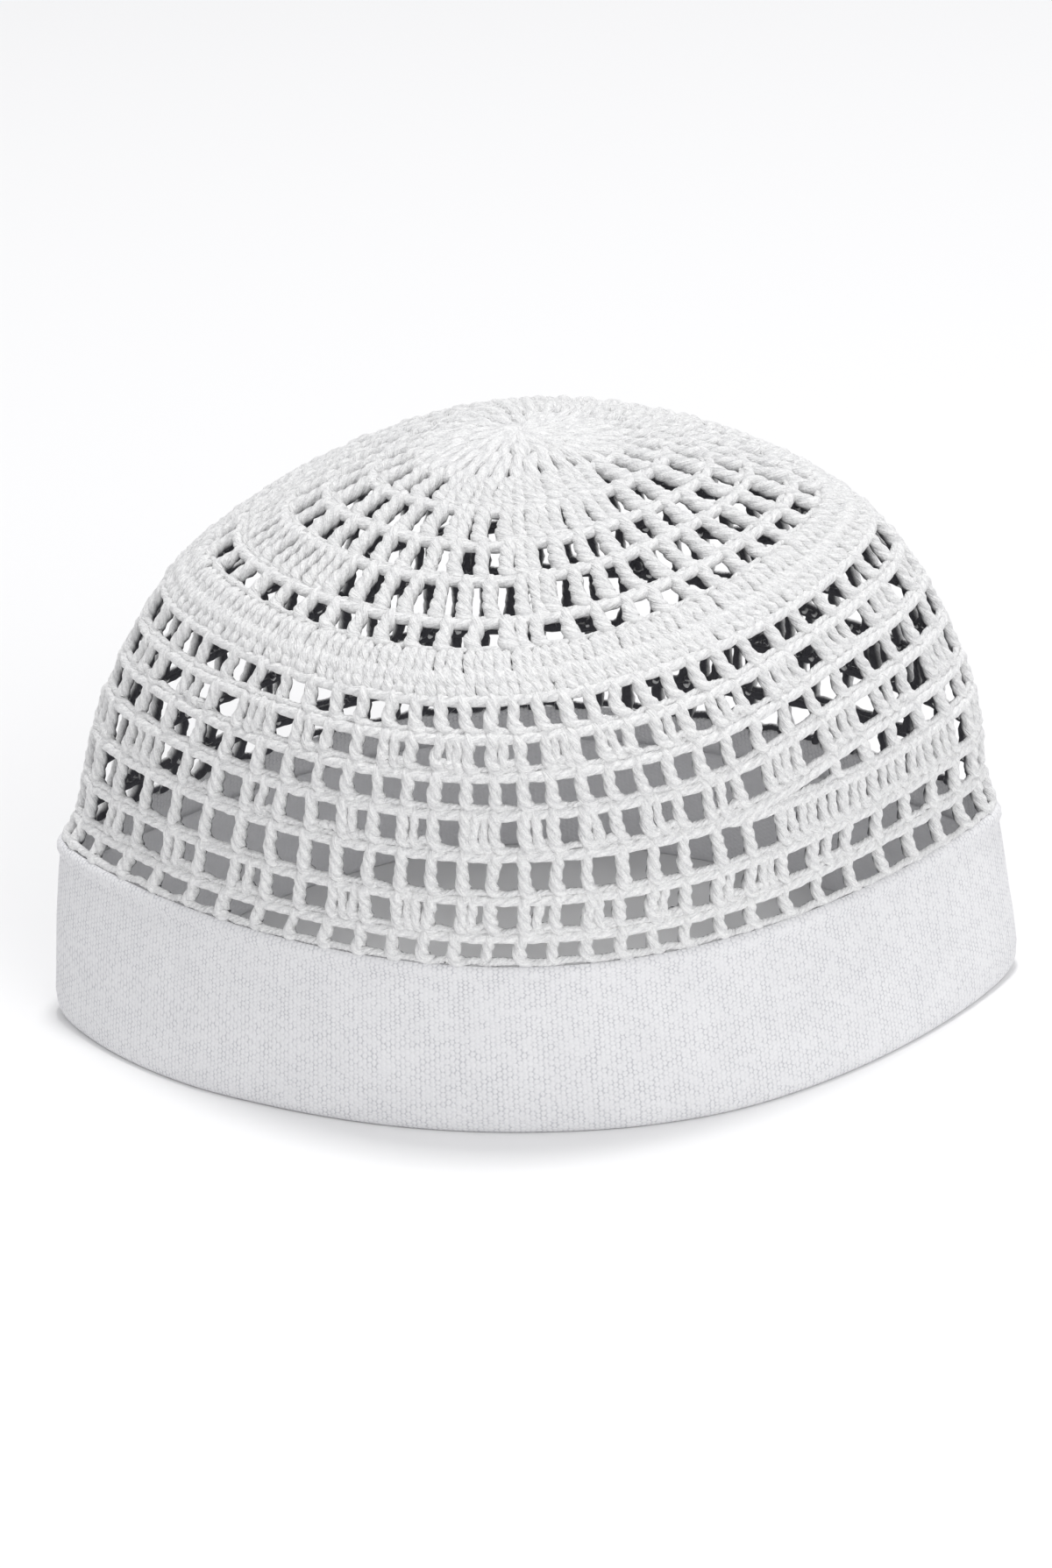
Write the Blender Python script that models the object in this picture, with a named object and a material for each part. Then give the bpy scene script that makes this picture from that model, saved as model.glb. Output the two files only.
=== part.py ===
"""A crochet skull cap: a pierced crown of crocheted cotton and the cloth band that it is sewn into.

The cap lies on its rim at z = 0, with its front toward -Y and its creased ends at -X and +X. Levels name the
heights on it: -1 is the rim, 0 the top of the band and 1 the top of the crown.
"""

import math

import bmesh
import bpy
import numpy as np

# Rim and band, in metres
RIM_HALF_WIDTH = 0.107
RIM_HALF_DEPTH = 0.084
BAND_HEIGHT = 0.036
BAND_FLARE = 0.0050
BAND_WALL = 0.0026
LIP_WALL = 0.0010
LIP_HEIGHT = 0.0080
WELT_HEIGHT = 0.0024
WELT_PROUD = 0.0005
HEM_ROUND = 0.0007

# Crown, in metres
CROWN_RISE = 0.0865
CROWN_WALL = 0.0024
TOP_FORWARD = 0.0040
CLEARANCE = 0.0003

# Slopes, as rise over run: the band falls and the crown rises to the right, and the crown rises to the back
BAND_SLOPE_RIGHT = -0.023
CROWN_SLOPE_RIGHT = 0.075
CROWN_SLOPE_BACK = 0.134

# How sharply the two ends are creased: 1 is an ellipse, and the rounding softens the tip
CREASE_AT_BAND = 2.07
CREASE_AT_TOP = 1.49
CREASE_ROUNDING = 0.447

# Share of the crown's rise over which it swells out from behind the band's lip
LIP_FADE = 0.30

# Openings of the net
OPENINGS_PER_ROW = 20
COLUMNS_PER_OPENING = 4
OPEN_COLUMNS = 2

# Sections of the crown, as shares of its rise and of the half width and half depth at the top of the band
CROWN_SECTIONS = (
    # level, half width, half depth, shift right
    (0.00, 1.00, 1.00, 0.00),
    (0.12, 0.97, 1.01, 0.01),
    (0.28, 0.945, 1.03, 0.02),
    (0.46, 0.895, 1.02, 0.02),
    (0.64, 0.82, 0.98, 0.015),
    (0.80, 0.695, 0.865, 0.00),
    (0.91, 0.46, 0.585, -0.01),
    (0.975, 0.235, 0.30, -0.02),
    (1.00, 0.00, 0.00, -0.02),
)

# Rows of the crown from the band up, as the level where each ends and whether the net is open in it
CROWN_ROWS = (
    # top level, open
    (0.06, False),
    (0.19, True),
    (0.25, False),
    (0.38, True),
    (0.44, False),
    (0.56, True),
    (0.62, False),
    (0.72, True),
    (0.79, False),
    (0.855, False),
    (0.905, True),
    (0.93, False),
    (0.965, True),
    (0.985, False),
    (0.996, False),
)

COLUMNS = OPENINGS_PER_ROW * COLUMNS_PER_OPENING
OUTLINE_SAMPLES = 16 * COLUMNS
SHARP_ANGLE = math.radians(50)

YARN_COLOUR = (0.84, 0.84, 0.85, 1.0)
CLOTH_COLOUR = (0.78, 0.78, 0.82, 1.0)


def clear_scene():
    for obj in list(bpy.data.objects):
        bpy.data.objects.remove(obj)


def cotton(name, colour, roughness):
    """A plain cotton material with the given base colour."""
    material = bpy.data.materials.new(name)
    material.use_nodes = True
    shader = material.node_tree.nodes["Principled BSDF"]
    shader.inputs["Base Color"].default_value = colour
    shader.inputs["Roughness"].default_value = roughness
    shader.inputs["Metallic"].default_value = 0.0
    return material


def smooth_through(places, values, at):
    """The value at one place of a smooth curve through the given values."""
    slopes = np.gradient(values, places)
    n = min(max(int(np.searchsorted(places, at)) - 1, 0), len(places) - 2)
    span = places[n + 1] - places[n]
    t = (at - places[n]) / span
    start = values[n] * (1 + 2 * t) * (1 - t) ** 2 + slopes[n] * span * t * (1 - t) ** 2
    end = values[n + 1] * (3 - 2 * t) * t**2 + slopes[n + 1] * span * t**2 * (t - 1)
    return start + end


def section(level):
    """(half width, half depth, crease, shift right, shift back) of the outline at a level."""
    top_half_width = RIM_HALF_WIDTH - BAND_FLARE
    top_half_depth = RIM_HALF_DEPTH - BAND_FLARE
    if level <= 0:
        flare = -BAND_FLARE * level
        return top_half_width + flare, top_half_depth + flare, CREASE_AT_BAND, 0.0, 0.0
    # Widths grow with the square root of the way down from a round top, so that is what the curve runs along.
    levels, wide, deep, right = np.array(CROWN_SECTIONS).T
    places = -np.sqrt(1 - levels)
    here = -math.sqrt(1 - level)
    crease = CREASE_AT_BAND + (CREASE_AT_TOP - CREASE_AT_BAND) * level
    return (
        top_half_width * smooth_through(places, wide, here),
        top_half_depth * smooth_through(places, deep, here),
        crease,
        top_half_width * smooth_through(places, right, here),
        -TOP_FORWARD * level,
    )


def outline(level):
    """Evenly spaced points of the outline at a level, from the right end over the back, and their normals."""
    half_width, half_depth, crease, right, back = section(level)
    turn = np.linspace(0, 2 * math.pi, OUTLINE_SAMPLES + 1)
    squeeze = ((np.sin(turn) ** 2 + CREASE_ROUNDING**2) / (1 + CREASE_ROUNDING**2)) ** ((crease - 1) / 2)
    path = np.stack([half_width * np.cos(turn), half_depth * np.sin(turn) * squeeze], axis=1)
    travelled = np.concatenate([[0], np.cumsum(np.hypot(*np.diff(path, axis=0).T))])
    stops = np.linspace(0, travelled[-1], COLUMNS, endpoint=False)
    points = np.stack([np.interp(stops, travelled, path[:, axis]) for axis in (0, 1)], axis=1)
    along = np.gradient(path, axis=0)
    along[0] = along[-1] = path[1] - path[-2]
    normals = np.stack([np.interp(stops, travelled, along[:, axis]) for axis in (1, 0)], axis=1) * (1, -1)
    normals /= np.linalg.norm(normals, axis=1, keepdims=True)
    return points + (right, back), normals


def on_crown(points, level):
    """The plan points raised to the crown's height at a level."""
    rise = max(level, 0.0)
    height = BAND_HEIGHT + (CROWN_RISE * level if level > 0 else BAND_HEIGHT * level)
    slope_right = BAND_SLOPE_RIGHT + CROWN_SLOPE_RIGHT * rise
    heights = height + slope_right * points[:, 0] + CROWN_SLOPE_BACK * rise * points[:, 1]
    return np.column_stack([points, heights])


def crown_ring(level):
    """Points of the crown's outer face at a level."""
    points, normals = outline(level)
    inset = LIP_WALL + CLEARANCE
    if level > 0:
        inset *= max(0.0, 1 - level / LIP_FADE) ** 2
    return on_crown(points - inset * normals, level)


def crown_peak():
    """The point where the crown's rings close."""
    shift = section(1.0)[3:]
    return on_crown(np.array([shift]), 1.0)[0]


def band_ring(inset, height, from_top):
    """Points of the band at an inset from its outer face, a height above the rim or below its sloping top."""
    level = -height / BAND_HEIGHT if from_top else height / BAND_HEIGHT - 1
    points, normals = outline(level)
    points = points - inset * normals
    heights = np.full(COLUMNS, height)
    if from_top:
        heights = BAND_HEIGHT + BAND_SLOPE_RIGHT * points[:, 0] - height
    return np.column_stack([points, heights])


def new_object(name, shape, material):
    """An object made from a finished bmesh, smooth but for its sharp edges."""
    mesh = bpy.data.meshes.new(name)
    bmesh.ops.recalc_face_normals(shape, faces=shape.faces)
    shape.to_mesh(mesh)
    shape.free()
    mesh.shade_smooth()
    mesh.set_sharp_from_angle(angle=SHARP_ANGLE)
    mesh.materials.append(material)
    obj = bpy.data.objects.new(name, mesh)
    bpy.context.scene.collection.objects.link(obj)
    return obj


def make_crown(material):
    """The net as one sheet with its openings left out, given its thickness on the inside."""
    # The lower edge stands clear of the band's ledge, also where the slanting wall reaches lower inside.
    edge_height = LIP_HEIGHT - CLEARANCE - CROWN_WALL * BAND_FLARE / BAND_HEIGHT
    shape = bmesh.new()
    lower = [shape.verts.new(p) for p in crown_ring(-edge_height / BAND_HEIGHT)]
    for level, is_open in ((0.0, False), *CROWN_ROWS):
        upper = [shape.verts.new(p) for p in crown_ring(level)]
        for n in range(COLUMNS):
            if is_open and n % COLUMNS_PER_OPENING < OPEN_COLUMNS:
                continue
            after = (n + 1) % COLUMNS
            shape.faces.new((lower[n], lower[after], upper[after], upper[n]))
        lower = upper
    peak = shape.verts.new(crown_peak())
    for n in range(COLUMNS):
        shape.faces.new((lower[n], lower[(n + 1) % COLUMNS], peak))
    crown = new_object("crochet_crown", shape, material)
    wall = crown.modifiers.new("yarn thickness", "SOLIDIFY")
    wall.thickness = CROWN_WALL
    wall.offset = -1.0
    return crown


def make_band(material):
    """The folded cloth as a closed profile carried round the outline, with a ledge behind its lip."""
    profile = (
        # inset from the outer face, height, measured down from the top
        (HEM_ROUND, 0.0, False),
        (0.0, HEM_ROUND, False),
        (0.0, BAND_HEIGHT / 2, False),
        (0.0, WELT_HEIGHT, True),
        (-WELT_PROUD, WELT_HEIGHT / 2, True),
        (0.0, 0.0, True),
        (LIP_WALL, 0.0, True),
        (LIP_WALL, LIP_HEIGHT, True),
        (BAND_WALL, LIP_HEIGHT, True),
        (BAND_WALL, HEM_ROUND, False),
        (BAND_WALL - HEM_ROUND, 0.0, False),
    )
    shape = bmesh.new()
    rings = [[shape.verts.new(p) for p in band_ring(*corner)] for corner in profile]
    for ring, following in zip(rings, rings[1:] + rings[:1]):
        for n in range(COLUMNS):
            after = (n + 1) % COLUMNS
            shape.faces.new((ring[n], ring[after], following[after], following[n]))
    return new_object("fabric_band", shape, material)


def main():
    clear_scene()
    make_crown(cotton("white cotton yarn", YARN_COLOUR, 0.85))
    make_band(cotton("white woven cotton", CLOTH_COLOUR, 0.80))


main()
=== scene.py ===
"""The looks of a crochet skull cap: a net of plied cotton yarn that is sewn into a folded cloth band.

Places on the crown are (down, around). Down is 0 at the peak and 1 at the top of the band. Around is the
share of the way round from the right end over the back, so 0.5 is the left end and 0.75 the middle of the
front.
"""

import math

import bpy
import numpy as np
from mathutils import Matrix


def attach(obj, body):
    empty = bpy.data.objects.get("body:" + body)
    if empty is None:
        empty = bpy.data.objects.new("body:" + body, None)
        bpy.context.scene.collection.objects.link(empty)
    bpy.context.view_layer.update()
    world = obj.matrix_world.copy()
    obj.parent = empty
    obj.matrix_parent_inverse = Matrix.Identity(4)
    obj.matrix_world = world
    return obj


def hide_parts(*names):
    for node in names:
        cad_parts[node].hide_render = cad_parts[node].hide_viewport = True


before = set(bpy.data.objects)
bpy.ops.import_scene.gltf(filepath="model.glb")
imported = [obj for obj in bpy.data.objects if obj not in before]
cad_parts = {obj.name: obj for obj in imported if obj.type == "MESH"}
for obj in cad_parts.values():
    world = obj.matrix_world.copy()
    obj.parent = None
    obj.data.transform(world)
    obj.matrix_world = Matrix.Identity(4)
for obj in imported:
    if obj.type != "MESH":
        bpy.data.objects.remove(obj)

bl_info = {
    "name": "Crochet skull cap",
    "version": (1, 0, 0),
    "blender": (4, 5, 0),
    "location": "3D View > Sidebar > Cap",
    "description": "Builds the yarn and cloth of a crochet skull cap around its frame",
    "category": "Object",
}

MM = 0.001

# Form of the cap, in metres, as its frame has it
RIM_HALF_WIDTH = 0.107
RIM_HALF_DEPTH = 0.084
BAND_HEIGHT = 0.036
BAND_FLARE = 0.0050
LIP_WALL = 0.0010
CROWN_RISE = 0.0865
TOP_FORWARD = 0.0040
CLEARANCE = 0.0003
LIP_FADE = 0.30

# Slopes, as rise over run
BAND_SLOPE_RIGHT = -0.023
CROWN_SLOPE_RIGHT = 0.075
CROWN_SLOPE_BACK = 0.134

# The worked yarn leans a little further to the right than its frame, over this stretch down the crown
RIGHT_LEAN = 0.016
LEAN_START = 0.1
LEAN_SPAN = 0.75

# How far the soft rim lies forward of its frame's
RIM_FORWARD = (
    # place from the left end to the right one, mm forward
    (-1.00, 4.1),
    (-0.85, 5.6),
    (-0.70, 4.5),
    (-0.55, 1.6),
    (-0.37, -0.6),
    (0.00, -1.2),
    (0.21, 1.4),
    (0.37, 3.7),
    (0.51, 4.7),
    (0.65, 5.2),
    (0.79, 5.2),
    (0.93, 4.6),
    (1.00, 4.1),
)

# How much higher the soft top of the band stands at its ends than its frame's
RIGHT_RISE = 0.0033
LEFT_RISE = 0.0020

# How far the creased ends of the band are drawn in along their height, and at their rounded lower corners
END_DRAWN_IN = 0.0008
CORNER_DRAWN_IN = 0.0018

# How sharply the two ends are creased: 1 is an ellipse, and the rounding softens the tip
CREASE_AT_BAND = 2.07
CREASE_AT_TOP = 1.49
CREASE_ROUNDING = 0.447

# Sections of the crown, as shares of its rise and of the half width and half depth at the top of the band
CROWN_SECTIONS = (
    # level, half width, half depth, shift right
    (0.00, 1.00, 1.00, 0.00),
    (0.12, 0.97, 1.01, 0.01),
    (0.28, 0.945, 1.03, 0.02),
    (0.46, 0.895, 1.02, 0.02),
    (0.64, 0.82, 0.98, 0.015),
    (0.80, 0.695, 0.865, 0.00),
    (0.91, 0.46, 0.585, -0.01),
    (0.975, 0.235, 0.30, -0.02),
    (1.00, 0.00, 0.00, -0.02),
)

# The crochet starts a little behind and to the right of the peak, and is back in line at the dense ring
START_RIGHT = 0.032
START_BACK = 0.096
START_FADE = 0.49

# Below here the columns fan out from the front and back toward the creased ends, more at the left one
FAN_START = 0.30
FAN = 0.34
FAN_POWER_LEFT = 3.8
FAN_POWER_RIGHT = 3

# Ropes of the lower net, as places down the crown. At the right end one more row is worked in.
LOWER_ROPES = (
    # down at the front and left, down at the right
    (0.498, 0.500),
    (0.583, 0.568),
    (0.663, 0.635),
    (0.739, 0.703),
    (0.816, 0.770),
    (0.816, 0.823),
    (0.896, 0.888),
    (0.961, 0.948),
    (1.008, 1.010),
)
SHORT_ROPE = 5
SHORT_SPAN = (0.815, 1.185)

# Smallest height of the short row that still takes a post, as a share of the way down
SHORT_ROW_LEAST = 0.030

# How far round from the right end its own places for the ropes reach, and the stretch that blends them
RIGHT_REACH = 0.20
RIGHT_BLEND = 0.10

# Charts of the lower rows, one sign a cell from the left end over the front to the right end. A dot is an
# open cell, h is half filled, # is filled and t has tufts at its foot. The back is the front's mirror image.
LOWER_CHARTS = (
    "...............................",
    ".h.h.#.h..h.#.h.#.h.h.h.#.#.#.h",
    "...............................",
    "h.#.t.h.th.h.#.h.h.h.h.#.#.h.#.",
    "...............................",
    ".......................######.#",
    "..h.h.h..#.#.h.h.h.h.h#.h......",
    "...............................",
)

# The dense ring's two rows of stitches, as places down the crown. The lower one ends at the first rope.
DENSE_UPPER_ROW = (0.412, 0.467)
DENSE_LOWER_START = 0.446

# Rows of the top, from the dense ring inward
TOP_ROWS = (
    # down at the upper edge, down at the lower edge, cells round the cap, chart of the front, post in mm
    (0.374, 0.416, 50, "............#............", 3.2),
    (0.3175, 0.374, 48, "#####.......#...........", 3.3),
    (0.266, 0.3175, 42, "..........#..........", 3.4),
    (0.209, 0.266, 34, "......h.####.....", 3.5),
    (0.150, 0.209, 30, "....#######....", 3.6),
)

# Closed rounds of stitches
CLOSED_ROWS = (
    # down at the upper edge, down at the lower edge, stitches round the cap, thickness in mm
    (0.078, 0.153, 33, 3.2),
    (0.004, 0.088, 16, 3.6),
)

# A post of the net: it wraps over the upper rope, runs down and spreads to the right into the lower chain
POST_SECTIONS = (
    # share of the way down, mm past the upper rope, mm outward, mm sideways, thickness
    (0.00, -0.5, -2.6, -0.2, 0.45),
    (0.00, -0.8, -1.5, -0.2, 0.70),
    (0.00, -0.3, -0.85, -0.1, 0.84),
    (0.04, 0.6, -0.75, -0.1, 0.92),
    (0.22, 0.5, -1.10, 0.0, 0.97),
    (0.50, 0.1, -1.20, -0.1, 0.98),
    (0.74, 0.0, -1.20, 0.0, 1.06),
    (0.91, 0.0, -1.25, 0.5, 1.06),
    (1.00, 0.0, -1.35, 1.5, 0.88),
    (1.00, 0.2, -1.70, 2.7, 0.62),
)

# A stitch of the closed rounds and the dense ring, without the wrap
STITCH_SECTIONS = (
    # share of the way down, mm past the upper edge, mm outward, mm sideways, thickness
    (0.00, -0.2, -2.6, 0.0, 0.45),
    (0.05, 0.0, -1.4, 0.0, 0.90),
    (0.22, 0.0, -1.0, 0.0, 1.05),
    (0.50, 0.0, -1.2, 0.0, 0.95),
    (0.78, 0.0, -1.0, 0.2, 1.05),
    (0.95, 0.0, -1.4, 0.5, 0.90),
    (1.00, 0.2, -2.4, 0.7, 0.45),
)

# A small loop of loose yarn in a cell's lower or upper edge
LOOP_SECTIONS = (
    # share across the loop, height, mm outward
    (0.00, 0.0, -2.2),
    (0.15, 0.7, -1.5),
    (0.50, 1.0, -1.1),
    (0.85, 0.7, -1.5),
    (1.00, 0.0, -2.2),
)

# Outline of the folded cloth: from the fold up its outer layer, over the turned edge and down the inner side
BAND_PROFILE = (
    # mm in from the outer face, mm above the rim or below the top, measured from the top, inner shade
    (0.00, 3.0, False, 0),
    (0.00, 6.0, False, 0),
    (0.00, 12.0, False, 0),
    (0.00, 17.0, True, 0),
    (0.00, 12.0, True, 0),
    (0.00, 7.0, True, 0),
    (0.10, 4.2, True, 0),
    (0.16, 3.6, True, 0),
    (-0.20, 3.0, True, 0),
    (-0.65, 2.2, True, 0),
    (-0.70, 1.2, True, 0),
    (-0.40, 0.5, True, 0),
    (0.15, 0.1, True, 0),
    (0.70, 0.2, True, 0),
    (1.00, 0.9, True, 0),
    (1.00, 8.0, True, 1),
    (1.05, 12.0, False, 1),
    (1.05, 2.2, False, 1),
    (1.30, 1.6, False, 1),
    (1.55, 2.2, False, 1),
    (1.60, 12.0, False, 1),
    (1.60, 9.0, True, 1),
    (1.75, 8.3, True, 1),
    (2.10, 8.0, True, 1),
    (2.45, 8.3, True, 1),
    (2.60, 9.0, True, 1),
    (2.60, 12.0, False, 1),
    (2.60, 1.8, False, 1),
    (2.40, 0.6, False, 1),
    (2.10, 0.05, False, 1),
    (1.60, 0.0, False, 0),
    (1.00, 0.30, False, 0),
    (0.50, 0.85, False, 0),
    (0.15, 1.8, False, 0),
)

# Texture of each strand starts this many metres further along than its neighbour's
STRAND_SHIFT = 0.0137

# Points round the band
BAND_POINTS = 480

# Sockets of a colour mix node, by number
MIX_FACTOR = 0
MIX_A = 6
MIX_B = 7
MIX_RESULT = 2


def linear(hex_colour):
    """An sRGB hex colour as linear red, green, blue and full alpha."""
    shares = [int(hex_colour[n : n + 2], 16) / 255 for n in (1, 3, 5)]
    return (*(s / 12.92 if s <= 0.04045 else ((s + 0.055) / 1.055) ** 2.4 for s in shares), 1.0)


def length(name, description, default):
    """A size property in metres."""
    return bpy.props.FloatProperty(
        name=name, description=description, default=default, min=0.0, precision=5, unit="LENGTH"
    )


def colour(name, description, default):
    """A colour property given as sRGB hex."""
    return bpy.props.FloatVectorProperty(
        name=name, description=description, default=linear(default), size=4, min=0.0, max=1.0, subtype="COLOR"
    )


def number(name, description, default):
    """A whole number property."""
    return bpy.props.IntProperty(name=name, description=description, default=default, min=1)


def share(name, description, default):
    """A property that is a plain share or strength."""
    return bpy.props.FloatProperty(name=name, description=description, default=default, min=0.0)


class CapYarnSettings(bpy.types.PropertyGroup):
    """Sizes and colours of the crocheted yarn."""

    post: length("Post", "Thickness of a post of the net", 0.0028)
    rope: length("Rope", "Thickness of the rope along the top of a row", 0.0024)
    chain: length("Chain", "Thickness of the chain along the foot of a row", 0.0015)
    filler: length("Filler", "Thickness of a stitch in a filled cell", 0.0023)
    dense: length("Dense stitch", "Thickness of a stitch in the dense ring", 0.0027)
    pitch: length("Pitch", "Length of one turn of the plies in a post", 0.0090)
    rope_pitch: length("Rope pitch", "Length of one turn of the plies in a rope", 0.0095)
    plies: number("Plies", "Plies twisted into the yarn", 3)
    columns: number("Columns", "Cells round the lower net", 62)
    dense_stitches: number("Dense stitches", "Stitches round the dense ring", 170)
    crowding: share("Crowding", "How much closer the columns stand at front and back than at the ends", 0.42)
    ply_depth: share("Ply depth", "Depth of the grooves between plies, as a share of the radius", 0.10)
    rope_depth: share("Rope ply depth", "The same for a rope, whose plies lie flatter", 0.05)
    light: colour("Yarn", "Bleached cotton where the light reaches it", "#F5F5F4")
    # Painted shade: the grey that the yarn is darkened toward between its plies, standing for the shade in
    # the grooves
    groove_shade: colour("Grooves", "The same cotton between its plies", "#BDBDBF")
    # Painted shade: the dark grey that the yarn's inward side is darkened toward, standing for the shade
    # inside the cap
    shade: colour("Inside", "The yarn's inner side, in the shade of the cap", "#55555A")


class CapClothSettings(bpy.types.PropertyGroup):
    """Sizes and colours of the cloth band."""

    thread_across: length("Thread spacing across", "Spacing of the pits along a row of the weave", 0.0022)
    thread_up: length("Thread spacing up", "Spacing of two rows of the weave", 0.00105)
    light: colour("Cloth", "Bleached cotton cloth", "#EBEBEC")
    # Painted shade: the grey that the cloth is darkened toward in the pits between its threads
    pit_shade: colour("Pits", "The cloth between its threads", "#B6B6BB")
    # Painted shade: the inner layer is a little darker, standing for the shade inside the cap
    shade: colour("Inside", "The band's inner layer, in the shade of the cap", "#E6E6E8")


class CapStageSettings(bpy.types.PropertyGroup):
    """Camera, floor and lights."""

    elevation: bpy.props.FloatProperty(
        name="Elevation",
        description="Camera angle above the floor",
        default=math.radians(20.0),
        subtype="ANGLE",
    )
    roll: bpy.props.FloatProperty(
        name="Roll", description="How far the picture is turned", default=math.radians(2.893), subtype="ANGLE"
    )
    distance: length("Distance", "Camera distance from the point it is aimed at", 1.2)
    aim_height: length("Aim height", "Height of the point that the camera is aimed at", 0.060)
    lens: share("Lens", "Focal length in mm on a sensor 36 mm wide", 189.8)
    floor: colour("Floor", "Pale studio floor", "#F2F2F2")


def smooth_through(places, values, at):
    """Values at the given places of a smooth curve through a table's values."""
    slopes = np.gradient(values, places, axis=0)
    at = np.asarray(at, float)
    n = np.clip(np.searchsorted(places, at) - 1, 0, len(places) - 2)
    span = places[n + 1] - places[n]
    t = (at - places[n]) / span
    if values.ndim > 1:
        span = span[:, None]
        t = t[:, None]
    start = values[n] * (1 + 2 * t) * (1 - t) ** 2 + slopes[n] * span * t * (1 - t) ** 2
    end = values[n + 1] * (3 - 2 * t) * t**2 + slopes[n + 1] * span * t**2 * (t - 1)
    return start + end


def section(level):
    """(half width, half depth, crease, shift right, shift back) of the outline at a level."""
    top_half_width = RIM_HALF_WIDTH - BAND_FLARE
    top_half_depth = RIM_HALF_DEPTH - BAND_FLARE
    if level <= 0:
        flare = -BAND_FLARE * level
        return top_half_width + flare, top_half_depth + flare, CREASE_AT_BAND, 0.0, 0.0
    levels, wide, deep, right = np.array(CROWN_SECTIONS).T
    places = -np.sqrt(1 - levels)
    here = -math.sqrt(1 - level)
    return (
        top_half_width * float(smooth_through(places, wide, here)),
        top_half_depth * float(smooth_through(places, deep, here)),
        CREASE_AT_BAND + (CREASE_AT_TOP - CREASE_AT_BAND) * level,
        top_half_width * float(smooth_through(places, right, here)),
        -TOP_FORWARD * level,
    )


def outline(level, count):
    """Evenly spaced points of the outline at a level, from the right end over the back, and their normals."""
    half_width, half_depth, crease, right, back = section(level)
    turn = np.linspace(0, 2 * math.pi, 4 * count + 1)
    squeeze = ((np.sin(turn) ** 2 + CREASE_ROUNDING**2) / (1 + CREASE_ROUNDING**2)) ** ((crease - 1) / 2)
    path = np.stack([half_width * np.cos(turn), half_depth * np.sin(turn) * squeeze], axis=1)
    travelled = np.concatenate([[0], np.cumsum(np.hypot(*np.diff(path, axis=0).T))])
    stops = np.linspace(0, travelled[-1], count, endpoint=False)
    points = np.stack([np.interp(stops, travelled, path[:, axis]) for axis in (0, 1)], axis=1)
    along = np.gradient(path, axis=0)
    along[0] = along[-1] = path[1] - path[-2]
    normals = np.stack([np.interp(stops, travelled, along[:, axis]) for axis in (1, 0)], axis=1) * (1, -1)
    normals /= np.linalg.norm(normals, axis=1, keepdims=True)
    return points + (right, back), normals, travelled[-1]


def end_rise(points, level):
    """How much higher than in the frame the points at a level stand toward the ends."""
    across = np.clip(points[:, 0] / RIM_HALF_WIDTH, -1, 1)
    rise = np.where(across > 0, RIGHT_RISE * across**2, LEFT_RISE * across**8)
    fade = max(0.0, 1 - level / LIP_FADE) ** 2 if level > 0 else 1 + level
    return rise * fade


def unit(vectors):
    """The vectors at length 1."""
    return vectors / np.linalg.norm(vectors, axis=-1, keepdims=True)


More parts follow.
